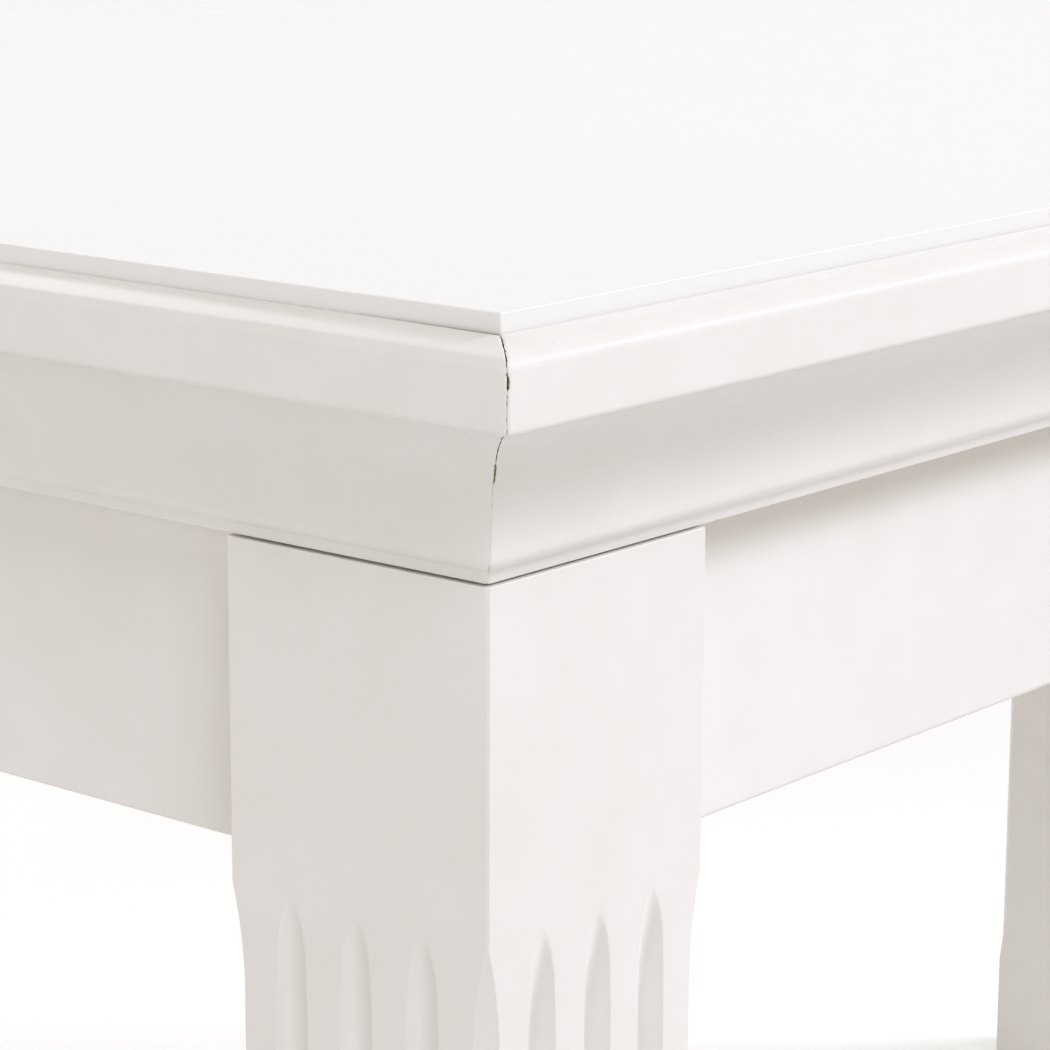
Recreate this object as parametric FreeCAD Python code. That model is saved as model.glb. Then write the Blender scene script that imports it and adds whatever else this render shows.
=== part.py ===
import FreeCAD, Part
import math
import os

# Dining table with a mitred cornice round its top and fluted square legs.
# Millimetres. X runs along the table, Y across it, Z up. The origin is on the floor, under the middle.

Vector = FreeCAD.Vector

# Overall size, over the nose of the cornice
table_length = 1550.0
table_width = 800.0
table_height = 780.0

# Top board, which lies in a rebate of the cornice and stands a little above it
board_thickness = 18.0
board_reveal = 4.2
board_gap = 0.3
board_ease = 0.2

# Cornice section, measured out from the legs' faces and down from the table top
nose_overhang = 30.0
ledge_width = 11.0
ledge_start_slope = 5.0
ledge_end_slope = 25.0
nose_radius = 3.5
fascia_bottom = 21.8
step_width = 5.5
step_drop = 1.3
cove_radius = 36.0
cove_foot = 1.5
cove_bottom = 56.8
quirk_width = 1.9
quirk_depth = 1.6
fillet_out = 0.6
fillet_lean = 0.7
cornice_depth = 61.0
mitre_gap = 0.4

# Legs
leg_width = 75.0
leg_ease = 0.5
shoulder_gap = 0.8
flute_count = 3
flute_pitch = 19.2
flute_radius = 4.9
flute_depth = 3.3
flute_start = 4.0
chamfer_width = 4.0
chamfer_start = 1.0
runout_radius = 140.0
runout_steps = 2
foot_block = 70.0
bolt_flat = 16.0

# Aprons
apron_bottom = 138.0
apron_thickness = 22.0
apron_setback = 16.0
apron_ease = 1.0

# Corner blocks and the hanger bolts that pull the legs into the corners
block_thickness = 28.0
block_height = 72.0
block_lift = 8.0
draw_gap = 5.0
bolt_radius = 4.0
bolt_clearance = 0.5
bolt_grip = 45.0
bolt_spacing = 38.0
bolt_end = 4.0
flange_radius = 8.9
flange_thickness = 1.6
nut_flats = 13.0
nut_height = 8.0

# Cleats that hold the board to the aprons, and the rail across the middle
cleat_size = 20.0
cleat_end_gap = 12.0
rail_thickness = 22.0
rail_height = 58.0

# Square nylon glides under the feet
glide_size = 40.0
glide_height = 5.0
glide_ease = 1.5

# Derived levels and lines
board_underside = table_height - board_thickness
cornice_bottom = table_height - cornice_depth
leg_shoulder = cornice_bottom - shoulder_gap
apron_foot = table_height - apron_bottom
board_overhang = nose_overhang - ledge_width
apron_inner = apron_setback + apron_thickness
leg_corner_x = table_length / 2 - nose_overhang
leg_corner_y = table_width / 2 - nose_overhang

# Corners and sides in turn round the table, each with its quarter turn about Z
corners = {
    "front_left": (-leg_corner_x, -leg_corner_y, 0),
    "front_right": (leg_corner_x, -leg_corner_y, 90),
    "back_right": (leg_corner_x, leg_corner_y, 180),
    "back_left": (-leg_corner_x, leg_corner_y, 270),
}
sides = {
    "front": (0, -leg_corner_y, 0, 2 * leg_corner_x),
    "right": (leg_corner_x, 0, 90, 2 * leg_corner_y),
    "back": (0, leg_corner_y, 180, 2 * leg_corner_x),
    "left": (-leg_corner_x, 0, 270, 2 * leg_corner_y),
}


def box(x0, x1, y0, y1, z0, z1):
    return Part.makeBox(x1 - x0, y1 - y0, z1 - z0, Vector(x0, y0, z0))


def placed(shape, x, y, turn):
    """Turn a shape about Z and move it from its own corner or side to its place on the table."""
    copy = shape.copy()
    copy.rotate(Vector(0, 0, 0), Vector(0, 0, 1), turn)
    copy.translate(Vector(x, y, 0))
    return copy


def aimed(shape, point, direction):
    """Point a shape that was made along +Z in another direction."""
    copy = shape.copy()
    copy.Placement = FreeCAD.Placement(point, FreeCAD.Rotation(Vector(0, 0, 1), direction))
    return copy


def spread(count, length):
    """Positions that share a length evenly, from end to end, about its middle."""
    return [length * (i / (count - 1) - 0.5) for i in range(count)]


def eased(shape, width, chosen):
    """Take the sharpness off the chosen edges with a narrow flat."""
    return shape.makeChamfer(width, [edge for edge in shape.Edges if chosen(edge)])


def is_upright(edge):
    ends = [v.Point for v in edge.Vertexes]
    return math.hypot(ends[0].x - ends[1].x, ends[0].y - ends[1].y) < 1e-6


def table_top():
    half_x = leg_corner_x + board_overhang
    half_y = leg_corner_y + board_overhang
    board = box(-half_x, half_x, -half_y, half_y, board_underside, table_height)
    return eased(board, board_ease, lambda e: is_upright(e) or e.BoundBox.ZMin > table_height - 1e-6)


def cornice_section():
    """Closed outline of the moulding: u out from the legs' faces, d down from the table top."""
    def point(u, d):
        return Vector(0, -u, table_height - d)

    def line(a, b):
        return Part.makeLine(point(*a), point(*b))

    def arc(a, via, b):
        return Part.Arc(point(*a), point(*via), point(*b)).toShape()

    def on_ledge(slope):
        turn = math.radians(slope)
        u = ledge_top[0] + ledge_radius * (math.sin(turn) - math.sin(start))
        d = ledge_top[1] + ledge_radius * (math.cos(start) - math.cos(turn))
        return u, d

    def on_nose(slope):
        turn = math.radians(slope)
        u = nose_overhang - nose_radius * (1 - math.sin(turn))
        return u, fascia_top - nose_radius * math.cos(turn)

    # The ledge is a shallow arc that runs on smoothly into the nose
    start = math.radians(ledge_start_slope)
    end = math.radians(ledge_end_slope)
    ledge_top = (board_overhang + board_gap, board_reveal)
    run = nose_overhang - ledge_top[0] - nose_radius * (1 - math.sin(end))
    ledge_radius = run / (math.sin(end) - math.sin(start))
    ledge_end = on_ledge(ledge_end_slope)
    fascia_top = ledge_end[1] + nose_radius * math.cos(end)
    nose_end = (nose_overhang, fascia_top)

    # The cove's centre lies outside the wood, below its chord
    arris = (nose_overhang, fascia_bottom)
    step = (nose_overhang - step_width, fascia_bottom)
    cove_top = (step[0], fascia_bottom + step_drop)
    cove_end = (cove_foot, cove_bottom)
    chord_u = cove_top[0] - cove_end[0]
    chord_d = cove_end[1] - cove_top[1]
    chord = math.hypot(chord_u, chord_d)
    sag = cove_radius - math.sqrt(cove_radius ** 2 - (chord / 2) ** 2)
    cove_middle = (
        (cove_top[0] + cove_end[0]) / 2 - sag * chord_d / chord,
        (cove_top[1] + cove_end[1]) / 2 - sag * chord_u / chord,
    )

    # Below the cove an undercut quirk sets off a narrow fillet that leans in towards its foot
    quirk = (cove_foot - quirk_depth, cove_bottom + quirk_width)
    fillet_top = (fillet_out, cove_bottom + quirk_width)
    fillet_end = (fillet_out - fillet_lean, cornice_depth)
    back_bottom = (-apron_setback, cornice_depth)
    back_top = (-apron_setback, board_thickness)
    rebate = (ledge_top[0], board_thickness)

    edges = [
        arc(ledge_top, on_ledge((ledge_start_slope + ledge_end_slope) / 2), ledge_end),
        arc(ledge_end, on_nose((ledge_end_slope + 90) / 2), nose_end),
        line(nose_end, arris),
        line(arris, step),
        line(step, cove_top),
        arc(cove_top, cove_middle, cove_end),
        line(cove_end, quirk),
        line(quirk, fillet_top),
        line(fillet_top, fillet_end),
        line(fillet_end, back_bottom),
        line(back_bottom, back_top),
        line(back_top, rebate),
        line(rebate, ledge_top),
    ]
    return Part.Face(Part.Wire(edges))


def cornice(span):
    """One length of cornice, mitred at both ends."""
    half = span / 2 + nose_overhang
    length = cornice_section()
    length.translate(Vector(-half, 0, 0))
    length = length.extrude(Vector(2 * half, 0, 0))
    outer = half - mitre_gap / math.sqrt(2)
    inner = outer - nose_overhang - apron_setback
    plan = Part.makePolygon([
        Vector(-outer, -nose_overhang, cornice_bottom),
        Vector(outer, -nose_overhang, cornice_bottom),
        Vector(inner, apron_setback, cornice_bottom),
        Vector(-inner, apron_setback, cornice_bottom),
        Vector(-outer, -nose_overhang, cornice_bottom),
    ])
    mitres = Part.Face(plan).extrude(Vector(0, 0, cornice_depth))
    return length.common(mitres)


def runout_length(depth):
    """Length over which a round cutter leaves a groove of this depth."""
    return math.sqrt(2 * runout_radius * depth - depth ** 2)


def chamfer_cutter(bottom, top):
    """Stopped chamfer for an upright corner edge on Z, cut in along the diagonal of +X and +Y."""
    depth = chamfer_width / math.sqrt(2)
    run = runout_length(depth)
    half_turn = math.asin(run / runout_radius) / 2
    half_run = runout_radius * math.sin(half_turn)
    half_depth = depth - runout_radius * (1 - math.cos(half_turn))
    z0 = bottom + run
    z1 = top - run

    def point(s, z):
        return Vector(s, -2 * chamfer_width, z)

    outline = Part.Wire([
        Part.Arc(point(0, top), point(half_depth, z1 + half_run), point(depth, z1)).toShape(),
        Part.makeLine(point(depth, z1), point(depth, z0)),
        Part.Arc(point(depth, z0), point(half_depth, z0 - half_run), point(0, bottom)).toShape(),
        Part.makeLine(point(0, bottom), point(-chamfer_width, bottom)),
        Part.makeLine(point(-chamfer_width, bottom), point(-chamfer_width, top)),
        Part.makeLine(point(-chamfer_width, top), point(0, top)),
    ])
    cutter = Part.Face(outline).extrude(Vector(0, 4 * chamfer_width, 0))
    cutter.rotate(Vector(0, 0, 0), Vector(0, 0, 1), 45)
    return cutter


def flute_cutter(bottom, top):
    """Round-nosed flute cut into a face on X = 0, lifting out at both ends along a large arc."""
    run = runout_length(flute_depth)
    exit_turn = math.asin(run / runout_radius)
    turns = [exit_turn * i / runout_steps for i in range(runout_steps + 2)]

    def lifted(turn, z):
        lift = runout_radius * (1 - math.cos(turn))
        return Vector(flute_depth - flute_radius - lift, 0, z + runout_radius * math.sin(turn))

    lower = [lifted(-turn, bottom + run) for turn in reversed(turns)]
    upper = [lifted(turn, top - run) for turn in turns]
    path = Part.makePolygon(lower + upper)
    circle = Part.Wire(Part.makeCircle(flute_radius, lower[0], lower[1] - lower[0]))
    sweep = Part.BRepOffsetAPI.MakePipeShell(path)
    sweep.setTransitionMode(1)
    sweep.add(circle)
    sweep.build()
    sweep.makeSolid()
    return sweep.shape()


def leg():
    """Leg with its outer corner on Z and its outer faces on X = 0 and Y = 0."""
    shaft = box(0, leg_width, 0, leg_width, glide_height, leg_shoulder)

    def outer_edge(edge):
        limits = edge.BoundBox
        on_outer_face = limits.XMax < 1e-6 or limits.YMax < 1e-6
        return is_upright(edge) or on_outer_face

    shaft = eased(shaft, leg_ease, outer_edge)
    post = box(apron_setback, leg_width, apron_setback, leg_width, leg_shoulder, board_underside)
    body = shaft.fuse(post)

    groove_end = glide_height + foot_block
    cutters = []
    chamfer = chamfer_cutter(groove_end, apron_foot - chamfer_start)
    for x, y, turn in ((0, 0, 0), (leg_width, 0, 90), (leg_width, leg_width, 180), (0, leg_width, 270)):
        cutters.append(placed(chamfer, x, y, turn))

    flute = flute_cutter(groove_end + flute_start - chamfer_start, apron_foot - flute_start)
    for offset in spread(flute_count, flute_pitch * (flute_count - 1)):
        cutters.append(placed(flute, 0, leg_width / 2 + offset, 0))
        cutters.append(placed(flute, leg_width / 2 + offset, 0, 90))

    flat = Part.makePolygon([
        Vector(leg_width - bolt_flat, leg_width, apron_foot),
        Vector(leg_width, leg_width - bolt_flat, apron_foot),
        Vector(leg_width, leg_width, apron_foot),
        Vector(leg_width - bolt_flat, leg_width, apron_foot),
    ])
    cutters.append(Part.Face(flat).extrude(Vector(0, 0, board_underside - apron_foot)))
    return body.cut(cutters).removeSplitter()


def apron(span):
    half = span / 2 - leg_width
    board = box(-half, half, apron_setback, apron_inner, apron_foot, board_underside)

    def long_lower_edge(edge):
        return edge.BoundBox.ZMax < apron_foot + 1e-6 and edge.BoundBox.XLength > half

    return eased(board, apron_ease, long_lower_edge)


def diagonal_at(distance):
    """Where a line square to a corner's diagonal, at this distance, meets an apron's inner face."""
    return distance * math.sqrt(2) - apron_inner


# Distances along a corner's diagonal, from the leg's outer corner inwards
flat_distance = (2 * leg_width - bolt_flat) / math.sqrt(2)
block_outer = flat_distance + draw_gap
block_inner = block_outer + block_thickness
block_bottom = apron_foot + block_lift
block_middle = block_bottom + block_height / 2
bolt_levels = [block_middle + offset for offset in spread(2, bolt_spacing)]


def corner_block():
    """Block across the corner, its ends cut to lie flat on both aprons."""
    far = diagonal_at(block_inner)
    near = diagonal_at(block_outer)
    plan = Part.makePolygon([
        Vector(near, apron_inner, block_bottom),
        Vector(far, apron_inner, block_bottom),
        Vector(apron_inner, far, block_bottom),
        Vector(apron_inner, near, block_bottom),
        Vector(near, apron_inner, block_bottom),
    ])
    return Part.Face(plan).extrude(Vector(0, 0, block_height))


def along_diagonal(distance, z):
    return Vector(distance / math.sqrt(2), distance / math.sqrt(2), z)


def hanger_bolts(radius):
    """Both rods of one corner, or their holes at a larger radius."""
    end = block_inner + nut_height + bolt_end
    length = bolt_grip + end - flat_distance
    starts = [along_diagonal(flat_distance - bolt_grip, z) for z in bolt_levels]
    return [Part.makeCylinder(radius, length, start, Vector(1, 1, 0)) for start in starts]


def flange_nuts():
    """Both nuts of one corner, drawn up against the block."""
    corner_radius = nut_flats / math.sqrt(3)
    turns = [math.radians(60 * i) for i in range(7)]
    outline = [Vector(corner_radius * math.cos(t), corner_radius * math.sin(t), 0) for t in turns]
    hexagon = Part.Face(Part.makePolygon(outline)).extrude(Vector(0, 0, nut_height))
    flange = Part.makeCylinder(flange_radius, flange_thickness)
    nut = flange.fuse(hexagon).cut(Part.makeCylinder(bolt_radius, nut_height))
    return [aimed(nut, along_diagonal(block_inner, z), Vector(1, 1, 0)) for z in bolt_levels]


def cleat_lengths(name, span):
    """Name, start and end of each cleat of a side: two beside the cross rail on a long side, else one."""
    end = span / 2 - leg_width - cleat_end_gap
    gap = rail_thickness / 2
    if name == "front":
        return [("cleat_front_left", -end, -gap), ("cleat_front_right", gap, end)]
    if name == "back":
        return [("cleat_back_right", -end, -gap), ("cleat_back_left", gap, end)]
    return [("cleat_" + name, -end, end)]


def cleat(start, end):
    inner = apron_inner + cleat_size
    return box(start, end, apron_inner, inner, board_underside - cleat_size, board_underside)


def cross_rail():
    half_y = leg_corner_y - apron_inner
    half_x = rail_thickness / 2
    return box(-half_x, half_x, -half_y, half_y, board_underside - rail_height, board_underside)


def foot_glide():
    """Square glide under the middle of a leg, its lower edges eased so that it slides."""
    inset = (leg_width - glide_size) / 2
    pad = box(inset, inset + glide_size, inset, inset + glide_size, 0, glide_height)
    return eased(pad, glide_ease, lambda e: is_upright(e) or e.BoundBox.ZMax < 1e-6)


nodes = {}
nodes["table_top"] = table_top()
nodes["cross_rail"] = cross_rail()

for name, (x, y, turn, span) in sides.items():
    nodes["cornice_" + name] = placed(cornice(span), x, y, turn)
    nodes["apron_" + name] = placed(apron(span), x, y, turn)
    for label, start, end in cleat_lengths(name, span):
        nodes[label] = placed(cleat(start, end), x, y, turn)

drilled_leg = leg().cut(hanger_bolts(bolt_radius))
drilled_block = corner_block().cut(hanger_bolts(bolt_radius + bolt_clearance))
bolts = []
nuts = []
for name, (x, y, turn) in corners.items():
    nodes["leg_" + name] = placed(drilled_leg, x, y, turn)
    nodes["glide_" + name] = placed(foot_glide(), x, y, turn)
    nodes["corner_block_" + name] = placed(drilled_block, x, y, turn)
    bolts += [placed(bolt, x, y, turn) for bolt in hanger_bolts(bolt_radius)]
    nuts += [placed(nut, x, y, turn) for nut in flange_nuts()]
nodes["hanger_bolts"] = Part.makeCompound(bolts)
nodes["flange_nuts"] = Part.makeCompound(nuts)

os.makedirs("parts", exist_ok=True)
for name, shape in nodes.items():
    shape.exportStep("parts/%s.step" % name)
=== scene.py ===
import math

import bmesh
import bpy
from mathutils import Matrix, Quaternion, Vector, noise


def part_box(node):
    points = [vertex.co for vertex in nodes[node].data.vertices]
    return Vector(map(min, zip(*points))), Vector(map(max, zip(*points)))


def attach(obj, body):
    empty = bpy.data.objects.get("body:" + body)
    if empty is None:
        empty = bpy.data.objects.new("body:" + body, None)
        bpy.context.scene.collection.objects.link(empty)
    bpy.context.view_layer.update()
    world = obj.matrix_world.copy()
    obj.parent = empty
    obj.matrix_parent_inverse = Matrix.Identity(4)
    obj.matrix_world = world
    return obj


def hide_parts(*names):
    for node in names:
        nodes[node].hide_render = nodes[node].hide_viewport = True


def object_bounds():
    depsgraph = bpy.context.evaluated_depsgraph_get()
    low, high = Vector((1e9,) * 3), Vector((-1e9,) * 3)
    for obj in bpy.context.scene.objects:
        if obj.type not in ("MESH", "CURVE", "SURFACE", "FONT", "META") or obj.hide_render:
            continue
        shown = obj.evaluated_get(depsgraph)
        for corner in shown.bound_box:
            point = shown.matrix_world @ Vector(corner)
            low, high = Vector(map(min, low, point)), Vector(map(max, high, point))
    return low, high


# Looks of a white painted dining table with a mitred cornice and fluted legs.
# Sizes are in millimetres up here and in metres in the meshes. The frame is the part's own.

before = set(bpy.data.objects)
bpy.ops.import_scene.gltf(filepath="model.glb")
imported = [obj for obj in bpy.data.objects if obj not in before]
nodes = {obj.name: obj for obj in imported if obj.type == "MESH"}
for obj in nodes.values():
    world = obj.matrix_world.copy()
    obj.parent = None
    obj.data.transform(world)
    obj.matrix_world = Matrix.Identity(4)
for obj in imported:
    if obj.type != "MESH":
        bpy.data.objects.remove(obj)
cad_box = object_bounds()
MM = 0.001

# Table
table_height = cad_box[1].z / MM
corner_x = -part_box("leg_front_left")[0].x / MM
corner_y = -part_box("leg_front_left")[0].y / MM
board_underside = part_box("table_top")[0].z / MM
board_thickness = table_height - board_underside
apron_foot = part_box("apron_front")[0].z / MM
apron_setback = corner_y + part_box("apron_front")[0].y / MM
apron_inner = corner_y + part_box("apron_front")[1].y / MM

# Cornice section, out from the legs' faces and down from the table top
nose_overhang = cad_box[1].y / MM - corner_y
board_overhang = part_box("table_top")[1].y / MM - corner_y
board_reveal = 4.2
board_gap = 0.45
ledge_start_slope = 5.0
ledge_end_slope = 25.0
nose_radius = 2.8
fascia_bottom = 21.8
arris_radius = 1.2
step_width = 5.5
step_drop = 1.3
cove_radius = 36.0
cove_foot = 3.1
cove_bottom = 56.4
foot_radius = 3.5
quirk_width = 2.0
quirk_radius = 0.8
fillet_out = 0.3
fillet_lean = 1.0
cornice_depth = table_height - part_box("cornice_front")[0].z / MM
section_step = 0.3
ledge_fillet = 0.15
step_fillet = 0.6
ledge_steps = 16
nose_steps = 14
cove_steps = 60
foot_points = 4
moulding_sharp = 28

# Mitres: how far each end stands back from the joint plane, and how the paint breaks along it
joint_open = 0.26
joint_closed = 0.14
joint_open_to = 28.0
joint_closed_from = 42.0
joint_least = 0.02
joint_ragged = 0.24
ragged_closed = 0.4
ragged_scale = 0.9
ragged_fine = 0.6
ragged_fine_scale = 3
joint_fade = 0.9
edge_break = 0.15
edge_fade = 0.3
wear_plain = 0.3
wear_ragged = 0.5
wear_sink = 1.2
wear_fade = 0.5
mitre_rings = (0.0, 0.25, 0.6, 1.2, 3.0, 6.0, 10.0, 15.0, 20.0, 30.0, 45.0)
seam_width = 0.75
seam_core = 0.4
seam_length = 40.0
seed_per_degree = 3.7
seed_fine = 9

# Chips beside the mitre that the photo shows: distance down, half height and depth.
# The core is the share of the half height that has the full depth
chips_at_front_left = ((11.1, 1.7, 0.4), (34.8, 3.2, 0.07))
chip_core = 0.55

# Legs
leg_width = 75.0
leg_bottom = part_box("leg_front_left")[0].z / MM
shoulder_gap = 0.65
leg_shoulder = table_height - cornice_depth - shoulder_gap
leg_ease = 0.5
shoulder_ease = 0.3
shoulder_turns = (0, 30, 60, 90)
flute_pitch = 19.2
flute_offsets = (-flute_pitch, 0.0, flute_pitch)
flute_radius = 4.9
flute_depth = 3.3
flute_softness = 0.16
flute_arc = 0.98
flute_margin = 0.8
flute_columns = 18
chamfer_soft = 0.8
chamfer_soft_share = 0.95
bevel_steps = 3
flute_start = 4.0
chamfer_width = 4.0
chamfer_start = 1.0
runout_radius = 140.0
foot_block = 70.0
groove_end = leg_bottom + foot_block
bolt_flat = 16.0
level_step = 0.8
level_margin_low = 2.0
level_margin_high = 1.0
leg_weld = 0.00001
leg_sharp = 35

# Fasteners
bolt_radius = 4.0
thread_pitch = 1.25
thread_depth = 0.55
thread_sides = 18
thread_steps = 6
thread_sharp = 50
bolt_tip = 1.2
bolt_grip = 45.0
bolt_end = 4.0
nut_height = 8.0
draw_gap = 5.0
block_thickness = 28.0
block_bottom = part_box("corner_block_front_left")[0].z / MM
block_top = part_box("corner_block_front_left")[1].z / MM
bolt_spacing = 38.0
bolt_levels = [(block_bottom + block_top) / 2 + side * bolt_spacing / 2 for side in (-1, 1)]
flat_distance = (2 * leg_width - bolt_flat) / math.sqrt(2)
block_inner = flat_distance + draw_gap + block_thickness
bolt_reach = block_inner + nut_height + bolt_end
screw_radius = 4.0
screw_rim = 0.25
screw_crown = 0.3
screw_recess = 2.2
screw_slot = 0.55
screw_depth = 1.4
screw_taper = 0.97
recess_taper = 0.7
screw_spin_step = 0.7
screw_spin_shift = 0.4
screw_sharp = 40
block_screw_edge = 20.0
cleat_screw_count = 3
cleat_screw_first = 0.12
cleat_screw_step = 0.38
cleat_screw_shift = 30.0

# Soft edges of the plain pieces
board_edge = 0.15
nut_edge = 0.3
painted_edge = 0.5
glide_edge = 0.5
wood_edge = 0.6
edge_segments = 3
edge_angle = 30
solid_weld = 0.01

# Paint on the wood and on the top board: range of its white, gloss, and height of its orange peel in
# metres. The top board's white is paler and more neutral than the rest: painted light
paint_low = (0.842, 0.805, 0.77)
paint_high = (0.882, 0.85, 0.82)
paint_gloss = 0.13
paint_peel = 0.00002
# The top board's paler, more neutral white is painted light that stands in for the light falling on the
# top; only its higher gloss is the lacquer's own
board_painted_light_low = (0.892, 0.874, 0.858)
board_painted_light_high = (0.898, 0.88, 0.864)
board_gloss = 0.6
board_peel = 0.000001

# Paint's clouds, sheen, pits and flakes. Depths of pits and flakes are in heights of the orange peel
cloud_scale = 3.0
mottle_scale = 45.0
mottle_share = 0.3
peel_scale = 420.0
sheen_low = 0.21
sheen_high = 0.24
pit_scale = 28.0
pit_inner = 0.004
pit_outer = 0.009
pit_strength = 0.35
pit_depth = 4.0
pit_colour = (0.52, 0.47, 0.41)
flake_scale = 2500.0
flake_share = 0.35
flake_start = 0.6
flake_end = 0.72
flake_depth = 4.0
raw_wood_low = (0.15, 0.12, 0.065)
raw_wood_high = (0.34, 0.28, 0.17)
raw_wood_scale = 900.0
raw_wood_matt = 0.8

# Bare wood, zinc and nylon: colours, figure of the wood, and height of the relief in metres
wood_pale_low = (0.62, 0.44, 0.27)
wood_pale_high = (0.7, 0.52, 0.34)
wood_dark = (0.42, 0.26, 0.14)
wood_stretch = 0.06
fibre_share = 0.45
wood_relief = 0.00012
zinc_low = (0.56, 0.56, 0.53)
zinc_high = (0.74, 0.74, 0.72)
zinc_relief = 0.00002
nylon_low = (0.78, 0.76, 0.7)
nylon_high = (0.85, 0.83, 0.78)
nylon_relief = 0.00003

# Camera, fitted to the photo's edges: place and clip in metres, turns in degrees, lens in millimetres
camera_place = (-1.28124, -0.82238, 0.89147)
camera_yaw = 50.463
camera_pitch = 12.825
camera_roll = 0.222
camera_lens = 120.79
camera_sensor = 36.0
camera_clip = 0.01

# Light, in metres, degrees and watts.
# The glint is the middle of the key, the only part of it that shines in the paint
world_strength = 0.43
world_colour = (1.0, 0.915, 0.72)
lamp_spread = 75.0
lamp_colour = (0.763, 0.8, 0.93)
key_place = (4.15, -2.83, 3.18)
key_target = (-0.5, -0.3, 0.7)
key_size = 1.9
key_power = 41.5
glint_size = 0.7
glint_power = 6.4
fill_place = (-2.7, -3.75, 3.8)
fill_target = (-0.7, -0.3, 0.7)
fill_size = 2.0
fill_power = 21.5
back_place = (0.6, 3.2, 3.2)
back_target = (-0.4, -0.1, 0.78)
back_size = 2.0
back_power = 7.7
left_place = (-4.2, 1.2, 1.5)
left_target = (-0.4, -0.1, 0.6)
left_size = 2.0
left_power = 7.1

# Floor, in metres: how much it is lifted for the camera at three distances from where the lamps meet
floor_half = 20.0
floor_white = 0.9
floor_roughness = 0.9
floor_lit_place = (-0.6, -0.6, 0.0)
floor_near = 0.8
floor_behind = 2.0
floor_far = 6.0
floor_glow_near = 0.17
floor_glow_behind = 0.37
floor_glow_far = 0.62
floor_glow_colour = (0.93, 0.95, 1.0)

corners = {
    "front_left": (-corner_x, -corner_y, 0),
    "front_right": (corner_x, -corner_y, 90),
    "back_right": (corner_x, corner_y, 180),
    "back_left": (-corner_x, corner_y, 270),
}
sides = {
    "front": (0, -corner_y, 0, 2 * corner_x),
    "right": (corner_x, 0, 90, 2 * corner_y),
    "back": (0, corner_y, 180, 2 * corner_x),
    "left": (-corner_x, 0, 270, 2 * corner_y),
}
cleats = [name for name in nodes if name.startswith("cleat_")]


def placement(x, y, turn):
    """From a corner's or side's own millimetres to its place on the table in metres."""
    return Matrix.Scale(MM, 4) @ Matrix.Translation((x, y, 0)) @ Matrix.Rotation(math.radians(turn), 4, "Z")


def smoothstep(start, end, value):
    """0 before the start, 1 past the end, and a smooth rise between."""
    t = min(max((value - start) / (end - start), 0.0), 1.0)
    return t * t * (3 - 2 * t)


def along_x(name):
    """Whether a node's longer side runs along the table."""
    low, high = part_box(name)
    return high.x - low.x > high.y - low.y


def join_rings(bm, rings):
    """Skin from each ring of points to the next."""
    for a, b in zip(rings, rings[1:]):
        for i in range(len(a)):
            bm.faces.new((a[i - 1], a[i], b[i], b[i - 1]))


def new_piece(name, bm, materials, sharp_angle):
    """Turn a finished bmesh into an object that rides on the table."""
    bmesh.ops.recalc_face_normals(bm, faces=bm.faces)
    mesh = bpy.data.meshes.new(name)
    bm.to_mesh(mesh)
    bm.free()
    for polygon in mesh.polygons:
        polygon.use_smooth = True
    mesh.set_sharp_from_angle(angle=math.radians(sharp_angle))
    for material in materials:
        mesh.materials.append(material)
    piece = bpy.data.objects.new(name, mesh)
    bpy.context.scene.collection.objects.link(piece)
    normals = piece.modifiers.new("flat_faces_stay_flat", "WEIGHTED_NORMAL")
    normals.keep_sharp = True
    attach(piece, "root")
    return piece


# Materials


def new_material(name):
    material = bpy.data.materials.new(name)
    material.use_nodes = True
    return material, material.node_tree, material.node_tree.nodes["Principled BSDF"]


def add_node(tree, kind, **settings):
    node = tree.nodes.new(kind)
    for key, value in settings.items():
        setattr(node, key, value)
    return node


def add_noise(tree, coordinates, scale, detail, roughness=0.5):
    node = add_node(tree, "ShaderNodeTexNoise")
    node.inputs["Scale"].default_value = scale
    node.inputs["Detail"].default_value = detail
    node.inputs["Roughness"].default_value = roughness
    tree.links.new(coordinates, node.inputs["Vector"])
    return node.outputs["Fac"]


def add_range(tree, value, low, high, to_low, to_high):
    """Smooth change from one number to another while the value goes from low to high."""
    node = add_node(tree, "ShaderNodeMapRange", interpolation_type="SMOOTHSTEP")
    tree.links.new(value, node.inputs["Value"])
    for key, number in (("From Min", low), ("From Max", high), ("To Min", to_low), ("To Max", to_high)):
        node.inputs[key].default_value = number
    return node.outputs["Result"]


def add_math(tree, operation, a, b):
    """Result of an operation on two terms, each a number or another node's output."""
    node = add_node(tree, "ShaderNodeMath", operation=operation)
    for socket, value in zip(node.inputs, (a, b)):
        if isinstance(value, (int, float)):
            socket.default_value = value
        else:
            tree.links.new(value, socket)
    return node.outputs["Value"]


def add_mix(tree, factor, a, b):
    """Mix two colours, each a fixed colour or another node's output."""
    node = add_node(tree, "ShaderNodeMix", data_type="RGBA")
    tree.links.new(factor, node.inputs["Factor"])
    for socket, colour in ((node.inputs[6], a), (node.inputs[7], b)):
        if isinstance(colour, tuple):
            socket.default_value = (*colour, 1)
        else:
            tree.links.new(colour, socket)
    return node.outputs[2]


def add_bump(tree, shader, height, distance):
    node = add_node(tree, "ShaderNodeBump")
    node.inputs["Distance"].default_value = distance
    tree.links.new(height, node.inputs["Height"])
    tree.links.new(node.outputs["Normal"], shader.inputs["Normal"])


def object_coordinates(tree):
    return add_node(tree, "ShaderNodeTexCoord").outputs["Object"]


def seen_ray(tree):
    """1 for rays from the camera or a reflection, and 0 for rays that gather light."""
    path = add_node(tree, "ShaderNodeLightPath")
    return add_math(tree, "MAXIMUM", path.outputs["Is Camera Ray"], path.outputs["Is Glossy Ray"])


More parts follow.
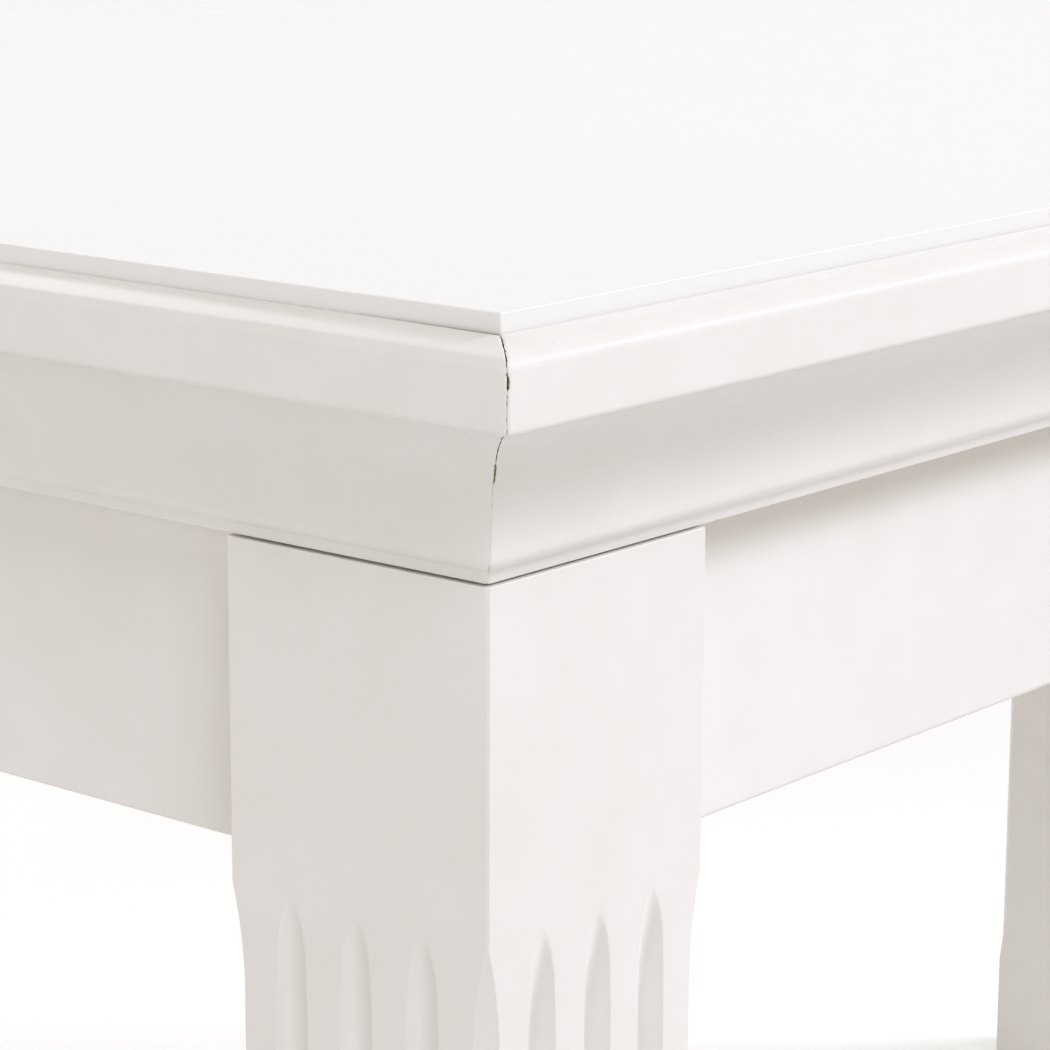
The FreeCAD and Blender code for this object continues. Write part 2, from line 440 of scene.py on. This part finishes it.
def paint_material(name, low, high, gloss, peel_height):
    """Sprayed satin white with faint orange peel, a few pits, and raw wood where it has broken off."""
    material, tree, shader = new_material(name)
    where = object_coordinates(tree)
    cloudy = add_noise(tree, where, scale=cloud_scale, detail=3)
    mottled = add_noise(tree, where, scale=mottle_scale, detail=2)
    slow = add_math(tree, "MULTIPLY", cloudy, 1 - mottle_share)
    fast = add_math(tree, "MULTIPLY", mottled, mottle_share)
    tone = add_math(tree, "ADD", slow, fast)
    white = add_mix(tree, add_range(tree, tone, 0.35, 0.65, 0, 1), low, high)

    cells = add_node(tree, "ShaderNodeTexVoronoi")
    cells.inputs["Scale"].default_value = pit_scale
    tree.links.new(where, cells.inputs["Vector"])
    pit = add_range(tree, cells.outputs["Distance"], pit_inner, pit_outer, 1, 0)
    spotted = add_mix(tree, add_math(tree, "MULTIPLY", pit, pit_strength), white, pit_colour)

    worn = add_node(tree, "ShaderNodeAttribute", attribute_name="wear").outputs["Fac"]
    flakes = add_math(tree, "MULTIPLY", add_noise(tree, where, scale=flake_scale, detail=2), flake_share)
    ragged = add_math(tree, "ADD", worn, flakes)
    broken = add_range(tree, ragged, flake_start, flake_end, 0, 1)
    grain = add_noise(tree, where, scale=raw_wood_scale, detail=3)
    wood = add_mix(tree, grain, raw_wood_low, raw_wood_high)
    tree.links.new(add_mix(tree, broken, spotted, wood), shader.inputs["Base Color"])

    sheen = add_range(tree, mottled, 0.3, 0.7, sheen_low, sheen_high)
    matt = add_math(tree, "MULTIPLY", broken, raw_wood_matt)
    tree.links.new(add_math(tree, "MAXIMUM", sheen, matt), shader.inputs["Roughness"])
    shader.inputs["Specular IOR Level"].default_value = gloss
    peel = add_noise(tree, where, scale=peel_scale, detail=2)
    height = add_math(tree, "SUBTRACT", peel, add_math(tree, "MULTIPLY", pit, pit_depth))
    lost = add_math(tree, "MULTIPLY", broken, add_math(tree, "ADD", grain, flake_depth))
    height = add_math(tree, "SUBTRACT", height, lost)
    add_bump(tree, shader, height, peel_height)
    return material


def wood_material(name, turn):
    """Planed hardwood with its grain along X, turned about Z by so many degrees."""
    material, tree, shader = new_material(name)
    mapping = add_node(tree, "ShaderNodeMapping")
    mapping.inputs["Rotation"].default_value = (0, 0, math.radians(-turn))
    tree.links.new(object_coordinates(tree), mapping.inputs["Vector"])
    along = add_node(tree, "ShaderNodeVectorMath", operation="MULTIPLY")
    along.inputs[1].default_value = (wood_stretch, 1, 1)
    tree.links.new(mapping.outputs["Vector"], along.inputs[0])
    stretched = along.outputs["Vector"]
    rings = add_node(tree, "ShaderNodeTexWave", wave_type="BANDS", bands_direction="DIAGONAL")
    rings.inputs["Scale"].default_value = 55.0
    rings.inputs["Distortion"].default_value = 7.0
    rings.inputs["Detail"].default_value = 2.0
    rings.inputs["Detail Scale"].default_value = 1.2
    tree.links.new(stretched, rings.inputs["Vector"])
    fibres = add_noise(tree, stretched, scale=900.0, detail=3, roughness=0.6)
    cloudy = add_noise(tree, stretched, scale=30.0, detail=2)
    wide = add_math(tree, "MULTIPLY", rings.outputs["Fac"], 1 - fibre_share)
    fine = add_math(tree, "MULTIPLY", fibres, fibre_share)
    figure = add_math(tree, "ADD", wide, fine)
    pale = add_mix(tree, cloudy, wood_pale_low, wood_pale_high)
    colour = add_mix(tree, add_range(tree, figure, 0.3, 0.85, 0, 1), pale, wood_dark)
    tree.links.new(colour, shader.inputs["Base Color"])
    tree.links.new(add_range(tree, fibres, 0.3, 0.7, 0.55, 0.75), shader.inputs["Roughness"])
    add_bump(tree, shader, figure, wood_relief)
    return material


def zinc_material():
    """Zinc plate with a faint spangle."""
    material, tree, shader = new_material("zinc")
    where = object_coordinates(tree)
    spangle = add_noise(tree, where, scale=350.0, detail=3)
    grey = add_mix(tree, spangle, zinc_low, zinc_high)
    tree.links.new(grey, shader.inputs["Base Color"])
    tree.links.new(add_range(tree, spangle, 0.3, 0.7, 0.28, 0.42), shader.inputs["Roughness"])
    shader.inputs["Metallic"].default_value = 1.0
    add_bump(tree, shader, add_noise(tree, where, scale=1500.0, detail=2), zinc_relief)
    return material


def nylon_material():
    """Moulded nylon, a little cloudy."""
    material, tree, shader = new_material("nylon")
    where = object_coordinates(tree)
    cloudy = add_noise(tree, where, scale=60.0, detail=2)
    tree.links.new(add_mix(tree, cloudy, nylon_low, nylon_high), shader.inputs["Base Color"])
    tree.links.new(add_range(tree, cloudy, 0.3, 0.7, 0.4, 0.55), shader.inputs["Roughness"])
    add_bump(tree, shader, add_noise(tree, where, scale=1200.0, detail=2), nylon_relief)
    return material


# Cornice


def on_arc(centre, radius, start, end, steps):
    """Points on an arc between two angles in degrees, ends included."""
    turns = [math.radians(start + (end - start) * i / steps) for i in range(steps + 1)]
    return [(centre[0] + radius * math.cos(t), centre[1] + radius * math.sin(t)) for t in turns]


def softened(corner, before, after, radius, steps=4):
    """A corner of an outline as the small arc that a coat of paint leaves."""
    corner = Vector(corner)
    a = (Vector(before) - corner).normalized()
    b = (Vector(after) - corner).normalized()
    half = a.angle(b) / 2
    centre = corner + (a + b).normalized() * radius / math.sin(half)
    start = corner + a * radius / math.tan(half) - centre
    end = corner + b * radius / math.tan(half) - centre
    first = math.atan2(start.y, start.x)
    swing = (math.atan2(end.y, end.x) - first + math.pi) % (2 * math.pi) - math.pi
    return on_arc(centre, radius, math.degrees(first), math.degrees(first + swing), steps)


def divided(points, step):
    """The same open outline with its long straight runs cut into short ones."""
    result = [points[0]]
    for a, b in zip(points, points[1:]):
        count = max(1, math.ceil(math.dist(a, b) / step))
        for i in range(1, count + 1):
            result.append((a[0] + (b[0] - a[0]) * i / count, a[1] + (b[1] - a[1]) * i / count))
    return result


def cornice_section():
    """The moulding's face from the rebate round to its foot, then the corners of its plain back."""
    start = math.radians(ledge_start_slope)
    end = math.radians(ledge_end_slope)
    ledge_top = (board_overhang + board_gap, board_reveal)
    run = nose_overhang - ledge_top[0] - nose_radius * (1 - math.sin(end))
    ledge_radius = run / (math.sin(end) - math.sin(start))
    across = ledge_top[0] - ledge_radius * math.sin(start)
    ledge_centre = (across, ledge_top[1] + ledge_radius * math.cos(start))
    ledge = on_arc(ledge_centre, ledge_radius, ledge_start_slope - 90, ledge_end_slope - 90, ledge_steps)
    fascia_top = ledge[-1][1] + nose_radius * math.cos(end)
    nose_centre = (nose_overhang - nose_radius, fascia_top)
    nose = on_arc(nose_centre, nose_radius, ledge_end_slope - 90, 0, nose_steps)

    arris = (nose_overhang, fascia_bottom)
    step = (nose_overhang - step_width, fascia_bottom)
    cove_top = (step[0], fascia_bottom + step_drop)
    cove_end = (cove_foot, cove_bottom)
    chord = Vector(cove_end) - Vector(cove_top)
    outward = Vector((chord.y, -chord.x)).normalized()
    reach = math.sqrt(cove_radius ** 2 - (chord.length / 2) ** 2)
    cove_centre = (Vector(cove_top) + Vector(cove_end)) / 2 + outward * reach
    first, last = [Vector(p) - cove_centre for p in (cove_top, cove_end)]
    first_turn = math.degrees(math.atan2(first.y, first.x)) % 360
    last_turn = math.degrees(math.atan2(last.y, last.x)) % 360
    cove = on_arc(cove_centre, cove_radius, first_turn, last_turn, cove_steps)[1:-1]

    # Paint has filled the quirk to a slope and rounded the last points of the cove into it
    fillet_top = (fillet_out, cove_bottom + quirk_width)
    fillet_end = (fillet_out - fillet_lean, cornice_depth)

    rebate = (ledge_top[0], board_thickness)
    face = softened(ledge_top, rebate, ledge[1], ledge_fillet) + ledge[2:] + nose[1:]
    face += softened(arris, nose[-1], step, arris_radius)
    face += softened(step, arris, cove_top, step_fillet)
    face += softened(cove_top, step, cove[1], step_fillet) + cove[2:-foot_points]
    face += softened(cove_end, cove[-foot_points], fillet_top, foot_radius)
    face += softened(fillet_top, cove_end, fillet_end, quirk_radius) + [fillet_end]
    back = [(-apron_setback, cornice_depth), (-apron_setback, board_thickness), rebate]
    return divided(face, section_step), back


def joint_pull(point, seed, chips):
    """How far a mitred end stands back from the joint at a point of the section, and how worn it is."""
    u, d = point
    openness = 1 - smoothstep(joint_open_to, joint_closed_from, d)
    coarse = Vector((u, d, 0)) * ragged_scale
    ragged = noise.noise(coarse + Vector((0, 0, seed)))
    ragged += ragged_fine * noise.noise(ragged_fine_scale * coarse + Vector((0, 0, seed + seed_fine)))
    pull = joint_closed + (joint_open - joint_closed) * openness
    pull += joint_ragged * (ragged_closed + (1 - ragged_closed) * openness) * ragged
    wear = openness * (wear_plain + wear_ragged * max(ragged, 0.0))
    for centre, half_height, depth in chips:
        bite = 1 - smoothstep(chip_core, 1.0, abs(d - centre) / half_height)
        pull += depth * bite
        wear = max(wear, bite)
    return max(pull, joint_least), wear


def seam_wear(point, offset):
    """How far the paint on the ledge has cracked beside the board, at a distance from the open mitre."""
    width = seam_width * (1 - smoothstep(0, seam_length, offset))
    beside = point.x - board_overhang - board_gap
    if point.y > board_reveal + seam_width or beside > width:
        return 0.0
    return 1 - smoothstep(seam_core * width, width, beside)


def cornice(name, span, x, y, turn, left_chips, right_seam):
    """One length of moulding, its ends mitred, with paint that has broken along the joints."""
    face, back = cornice_section()
    outline = [Vector(p) for p in face + back]
    count = len(outline)
    bm = bmesh.new()
    wear_layer = bm.verts.layers.float.new("wear")
    rings = []
    for end, chips, seam in ((-1, left_chips, False), (1, (), right_seam)):
        seed = len(name) + seed_per_degree * turn + end
        half = []
        for offset in mitre_rings:
            ring = []
            for i, point in enumerate(outline):
                pull, wear = joint_pull(point, seed, chips)
                near = math.exp(-offset / joint_fade)
                along = end * (span / 2 + point.x - pull * near - offset)
                tangent = outline[(i + 1) % count] - outline[i - 1]
                inward = Vector((-tangent.y, tangent.x)).normalized()
                sunk = edge_break * (1 + wear_sink * wear) * math.exp(-offset / edge_fade)
                place = point + inward * sunk if i < len(face) else point
                vertex = bm.verts.new((along, -place.x, table_height - place.y))
                cracked = seam_wear(point, offset) if seam and offset < seam_length else 0.0
                vertex[wear_layer] = max(wear * math.exp(-offset / wear_fade), cracked)
                ring.append(vertex)
            half.append(ring)
        rings += half if end < 0 else reversed(half)
    join_rings(bm, rings)
    for ring in (rings[0], rings[-1]):
        cap = bm.faces.new(ring)
        cap.material_index = 1
    bm.transform(placement(x, y, turn))
    piece = new_piece("moulding_" + name, bm, (paint, wood_along[turn % 180]), moulding_sharp)
    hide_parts("cornice_" + name)


# Legs


def half_chord(radius, depth):
    """Half the width of the cut that a round tool makes at a depth."""
    return math.sqrt(2 * radius * depth - depth ** 2)


def cut_depth(z, bottom, top, depth):
    """Depth of a groove at a height, with ends that lift out along a large arc. Negative past its ends."""
    run = half_chord(runout_radius, depth)
    beyond = max(z - (top - run), (bottom + run) - z, 0.0)
    return depth - runout_radius + math.sqrt(max(runout_radius ** 2 - beyond ** 2, 0.0))


def flute_depth_at(v, deepest):
    """Depth of a flute beside its middle line, with the edges softened by paint."""
    across = min(abs(v), flute_radius * flute_arc)
    plain = deepest - flute_radius + math.sqrt(flute_radius ** 2 - across ** 2)
    return (plain + math.sqrt(plain ** 2 + flute_softness ** 2)) / 2


def fluted_face(z, inset):
    """Distance along an outer face and depth into it, from edge to edge without its corners."""
    deepest = cut_depth(z, groove_end + flute_start - chamfer_start, apron_foot - flute_start, flute_depth)
    half = half_chord(flute_radius, max(deepest, 0.0)) + flute_margin
    points = []
    for offset in flute_offsets:
        for i in range(flute_columns + 1):
            v = half * math.sin((i / flute_columns - 0.5) * math.pi)
            depth = 0.0 if i in (0, flute_columns) else flute_depth_at(v, deepest)
            points.append((leg_width / 2 + offset + v, depth + inset))
    return points


def bevelled_corner(corner, before, after, width):
    """A corner with a flat across it and soft edges at both sides of the flat."""
    corner = Vector(corner)
    a = corner + (Vector(before) - corner).normalized() * width
    b = corner + (Vector(after) - corner).normalized() * width
    soft = min(chamfer_soft, width * chamfer_soft_share)
    return softened(a, before, b, soft, bevel_steps) + softened(b, a, after, soft, bevel_steps)


def leg_ring(z, inset, ease, flat):
    """Outline of a leg at a height: outer faces set in, edges eased, inner corner cut off for the bolts."""
    diagonal = cut_depth(z, groove_end, apron_foot - chamfer_start, chamfer_width / math.sqrt(2))
    width = max(diagonal * math.sqrt(2), ease)
    square = [(inset, inset), (leg_width, inset), (leg_width, leg_width), (inset, leg_width)]
    face = fluted_face(z, inset)
    outline = bevelled_corner(square[0], square[3], square[1], width)
    outline += face
    outline += bevelled_corner(square[1], square[0], square[2], width)
    outline += bevelled_corner(square[2], square[1], square[3], max(width, flat))
    outline += bevelled_corner(square[3], square[2], square[0], width)
    outline += [(depth, along) for along, depth in reversed(face)]
    return outline


def leg_levels():
    """Heights for the rings of a leg: close together where the grooves run out, and far apart between."""
    run = half_chord(runout_radius, flute_depth)
    low = (groove_end - level_margin_low, groove_end + flute_start + run)
    high = (apron_foot - flute_start - run - level_margin_high, apron_foot - chamfer_start)
    levels = []
    for start, end in (low, high):
        count = math.ceil((end - start) / level_step)
        levels += [start + (end - start) * i / count for i in range(count + 1)]
    return levels


def leg(name, x, y, turn):
    """One leg as a stack of outlines from its foot to the underside of the board."""
    rings = [(leg_bottom, leg_ring(leg_bottom, leg_ease, leg_ease, 0))]
    rings.append((leg_bottom + leg_ease, leg_ring(leg_bottom, 0, leg_ease, 0)))
    rings += [(z, leg_ring(z, 0, leg_ease, 0)) for z in leg_levels()]
    rings.append((apron_foot, leg_ring(apron_foot, 0, leg_ease, 0)))
    rings.append((apron_foot, leg_ring(apron_foot, 0, leg_ease, bolt_flat)))
    for turn_up in shoulder_turns:
        lift = shoulder_ease * (1 - math.sin(math.radians(turn_up)))
        inset = shoulder_ease * (1 - math.cos(math.radians(turn_up)))
        rings.append((leg_shoulder - lift, leg_ring(leg_shoulder, inset, leg_ease, bolt_flat)))
    rings.append((leg_shoulder, leg_ring(leg_shoulder, apron_setback, leg_ease, bolt_flat)))
    rings.append((board_underside, leg_ring(leg_shoulder, apron_setback, leg_ease, bolt_flat)))

    bm = bmesh.new()
    made = [[bm.verts.new((px, py, z)) for px, py in outline] for z, outline in rings]
    join_rings(bm, made)
    bm.faces.new(made[0])
    bm.faces.new(made[-1])
    bmesh.ops.remove_doubles(bm, verts=bm.verts, dist=leg_weld)
    bm.transform(placement(x, y, turn))
    piece = new_piece("fluted_leg_" + name, bm, (paint,), leg_sharp)
    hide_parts("leg_" + name)


# Fasteners


def threaded_rod(bm, start, end):
    """Rod along Z with a rolled thread and a chamfered tip."""
    steps = math.ceil((end - start) / thread_pitch * thread_steps)
    rings = []
    for i in range(steps + 1):
        z = start + (end - start) * i / steps
        tip = max(0.0, bolt_tip - (end - z))
        ring = []
        for k in range(thread_sides):
            phase = (z / thread_pitch - k / thread_sides) % 1
            cut = thread_depth * abs(2 * phase - 1)
            radius = min(bolt_radius - cut, bolt_radius - tip)
            angle = 2 * math.pi * k / thread_sides
            ring.append(bm.verts.new((radius * math.cos(angle), radius * math.sin(angle), z)))
        rings.append(ring)
    join_rings(bm, rings)
    bm.faces.new(rings[0])
    bm.faces.new(rings[-1])


def hanger_bolts():
    """All the bolts as one piece, each along the diagonal of its corner."""
    whole = bmesh.new()
    for x, y, turn in corners.values():
        for z in bolt_levels:
            rod = bmesh.new()
            threaded_rod(rod, flat_distance - bolt_grip, bolt_reach)
            aim = Vector((1, 1, 0)).to_track_quat("Z", "Y").to_matrix().to_4x4()
            rod.transform(placement(x, y, turn) @ Matrix.Translation((0, 0, z)) @ aim)
            mesh = bpy.data.meshes.new("rod")
            rod.to_mesh(mesh)
            rod.free()
            whole.from_mesh(mesh)
            bpy.data.meshes.remove(mesh)
    piece = new_piece("threaded_bolts", whole, (zinc,), thread_sharp)
    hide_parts("hanger_bolts")


def screw_head(bm, place, direction, spin):
    """Countersunk head with a cross recess, flush with the wood but for a hair."""
    def ring(scale, height, points):
        return [bm.verts.new((px * scale, py * scale, height)) for px, py in points]

    cross = []
    for quarter in range(4):
        turn = Matrix.Rotation(math.pi / 2 * quarter, 2)
        for corner in ((screw_recess, -screw_slot), (screw_recess, screw_slot), (screw_slot, screw_slot)):
            cross.append(turn @ Vector(corner))
    round_points = [p.normalized() for p in cross]
    first = len(bm.verts)
    rim_low = ring(screw_radius, 0.0, round_points)
    rim_high = ring(screw_radius * screw_taper, screw_rim, round_points)
    mouth = ring(1, screw_crown, cross)
    floor = ring(recess_taper, screw_crown - screw_depth, cross)
    join_rings(bm, [rim_low, rim_high, mouth, floor])
    bm.faces.new(floor)
    bm.verts.ensure_lookup_table()
    aim = Vector(direction).to_track_quat("Z", "Y") @ Quaternion((0, 0, 1), spin)
    move = Matrix.Translation(place) @ aim.to_matrix().to_4x4()
    bmesh.ops.transform(bm, matrix=move, verts=bm.verts[first:])


def block_screws(bm):
    """Four heads on the inner face of each corner block, each turned its own way."""
    half_length = block_inner - math.sqrt(2) * apron_inner
    middle = Vector((block_inner, block_inner, 0)) / math.sqrt(2)
    for x, y, turn in corners.values():
        to_table = placement(x, y, turn)
        for side in (-1, 1):
            for z in bolt_levels:
                local = middle + Vector((side, -side, 0)) * (half_length - block_screw_edge) / math.sqrt(2)
                local.z = z
                screw_head(bm, to_table @ local / MM, to_table.to_3x3() @ Vector((1, 1, 0)), side * z)


def cleat_screws(bm):
    """Heads of the screws that hold each cleat to the board and to its apron."""
    spin = 0.0
    for name in cleats:
        low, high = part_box(name)
        long_axis = 0 if along_x(name) else 1
        side_axis = 1 - long_axis
        centre = (low + high) / 2
        inner = low[side_axis] if centre[side_axis] > 0 else high[side_axis]
        inward = Vector((0, 0, 0))
        inward[side_axis] = -1 if centre[side_axis] > 0 else 1
        length = high[long_axis] - low[long_axis]
        for i in range(cleat_screw_count):
            spin += screw_spin_step
            down = centre.copy()
            down[long_axis] = low[long_axis] + length * (cleat_screw_first + cleat_screw_step * i)
            down.z = low.z
            screw_head(bm, down / MM, (0, 0, -1), spin)
            across = centre.copy()
            shift = cleat_screw_shift if i < cleat_screw_count - 1 else -cleat_screw_shift
            across[long_axis] = down[long_axis] + shift * MM
            across[side_axis] = inner
            screw_head(bm, across / MM, inward, spin + screw_spin_shift)


def wood_screws():
    """The heads of all the wood screws as one piece."""
    bm = bmesh.new()
    block_screws(bm)
    cleat_screws(bm)
    bm.transform(Matrix.Scale(MM, 4))
    new_piece("wood_screw_heads", bm, (zinc,), screw_sharp)


# Stage


def soft_edges(node, width):
    """Small round on the sharp edges of a plain solid."""
    weld = node.modifiers.new("weld", "WELD")
    weld.merge_threshold = solid_weld * MM
    bevel = node.modifiers.new("soft_edges", "BEVEL")
    bevel.width = width * MM
    bevel.segments = edge_segments
    bevel.limit_method = "ANGLE"
    bevel.angle_limit = math.radians(edge_angle)
    bevel.harden_normals = True


def dress(name, material, edge):
    """Give a plain solid its material and soft edges."""
    node = nodes[name]
    for slot in node.material_slots:
        slot.material = material
    soft_edges(node, edge)


def add_floor():
    """Pale floor that keeps the shadow, lifted to white where the lamps fade, and clear from below."""
    bm = bmesh.new()
    bmesh.ops.create_grid(bm, x_segments=1, y_segments=1, size=floor_half)
    mesh = bpy.data.meshes.new("floor")
    bm.to_mesh(mesh)
    bm.free()
    floor = bpy.data.objects.new("floor", mesh)
    bpy.context.scene.collection.objects.link(floor)
    material, tree, shader = new_material("floor")
    shader.inputs["Base Color"].default_value = (floor_white, floor_white, floor_white, 1)
    shader.inputs["Roughness"].default_value = floor_roughness
    shader.inputs["Emission Color"].default_value = (*floor_glow_colour, 1)
    seen = seen_ray(tree)
    away = add_node(tree, "ShaderNodeVectorMath", operation="DISTANCE")
    away.inputs[1].default_value = floor_lit_place
    tree.links.new(object_coordinates(tree), away.inputs[0])
    distance = away.outputs["Value"]
    behind = add_range(tree, distance, floor_near, floor_behind, floor_glow_near, floor_glow_behind)
    far = add_range(tree, distance, floor_behind, floor_far, 0, floor_glow_far - floor_glow_behind)
    glow = add_math(tree, "ADD", behind, far)
    tree.links.new(add_math(tree, "MULTIPLY", seen, glow), shader.inputs["Emission Strength"])
    below = add_node(tree, "ShaderNodeNewGeometry").outputs["Backfacing"]
    tree.links.new(add_math(tree, "SUBTRACT", 1.0, below), shader.inputs["Alpha"])
    mesh.materials.append(material)


def add_world():
    """Even light from all round, and plain white where the camera or a reflection sees it."""
    world = bpy.data.worlds.new("studio")
    bpy.context.scene.world = world
    world.use_nodes = True
    tree = world.node_tree
    background = tree.nodes["Background"]
    seen = seen_ray(tree)
    tree.links.new(add_mix(tree, seen, world_colour, (1.0, 1.0, 1.0)), background.inputs["Color"])
    tree.links.new(add_range(tree, seen, 0, 1, world_strength, 1), background.inputs["Strength"])


def add_lamp(name, place, target, size, power, reflected):
    """Square soft light, which shows in glossy surfaces only if it is reflected."""
    data = bpy.data.lights.new(name, "AREA")
    data.shape = "SQUARE"
    data.size = size
    data.spread = math.radians(lamp_spread)
    data.energy = power
    data.color = lamp_colour
    lamp = bpy.data.objects.new(name, data)
    lamp.location = place
    lamp.rotation_mode = "QUATERNION"
    lamp.rotation_quaternion = (Vector(target) - Vector(place)).to_track_quat("-Z", "Y")
    lamp.visible_camera = False
    lamp.visible_glossy = reflected
    bpy.context.scene.collection.objects.link(lamp)


def add_camera():
    """Camera at the photo's viewpoint."""
    yaw = math.radians(camera_yaw)
    pitch = math.radians(camera_pitch)
    ahead = Vector((math.sin(yaw) * math.cos(pitch), math.cos(yaw) * math.cos(pitch), -math.sin(pitch)))
    data = bpy.data.cameras.new("camera")
    data.lens = camera_lens
    data.sensor_width = camera_sensor
    data.clip_start = camera_clip
    camera = bpy.data.objects.new("camera", data)
    camera.location = camera_place
    camera.rotation_mode = "QUATERNION"
    level = ahead.to_track_quat("-Z", "Y")
    camera.rotation_quaternion = level @ Quaternion((0, 0, 1), math.radians(camera_roll))
    bpy.context.scene.collection.objects.link(camera)
    bpy.context.scene.camera = camera


paint = paint_material("white_paint", paint_low, paint_high, paint_gloss, paint_peel)
# The top board gets a paler copy of the white paint, which is painted light on the top, with a glossier
# finish of its own
board_lacquer_with_painted_light = paint_material("white_lacquer_painted_lighter", board_painted_light_low, board_painted_light_high, board_gloss, board_peel)
zinc = zinc_material()
nylon = nylon_material()
wood_along = {turn: wood_material("bare_wood_%d" % turn, turn) for turn in (0, 45, 90, 135)}

for name, (x, y, turn, span) in sides.items():
    left_chips = chips_at_front_left if name == "front" else ()
    cornice(name, span, x, y, turn, left_chips, name == "left")
for name, (x, y, turn) in corners.items():
    leg(name, x, y, turn)
    dress("glide_" + name, nylon, glide_edge)
    dress("corner_block_" + name, wood_along[(turn + 135) % 180], wood_edge)
for name in sides:
    dress("apron_" + name, paint, painted_edge)
dress("table_top", board_lacquer_with_painted_light, board_edge)
dress("flange_nuts", zinc, nut_edge)
dress("cross_rail", wood_along[90], wood_edge)
for name in cleats:
    dress(name, wood_along[0 if along_x(name) else 90], wood_edge)
hanger_bolts()
wood_screws()

add_floor()
add_world()
add_lamp("key", key_place, key_target, key_size, key_power, False)
add_lamp("glint", key_place, key_target, glint_size, glint_power, True)
add_lamp("fill", fill_place, fill_target, fill_size, fill_power, False)
add_lamp("back", back_place, back_target, back_size, back_power, True)
add_lamp("left", left_place, left_target, left_size, left_power, False)
add_camera()
bpy.context.scene.view_settings.view_transform = "Standard"
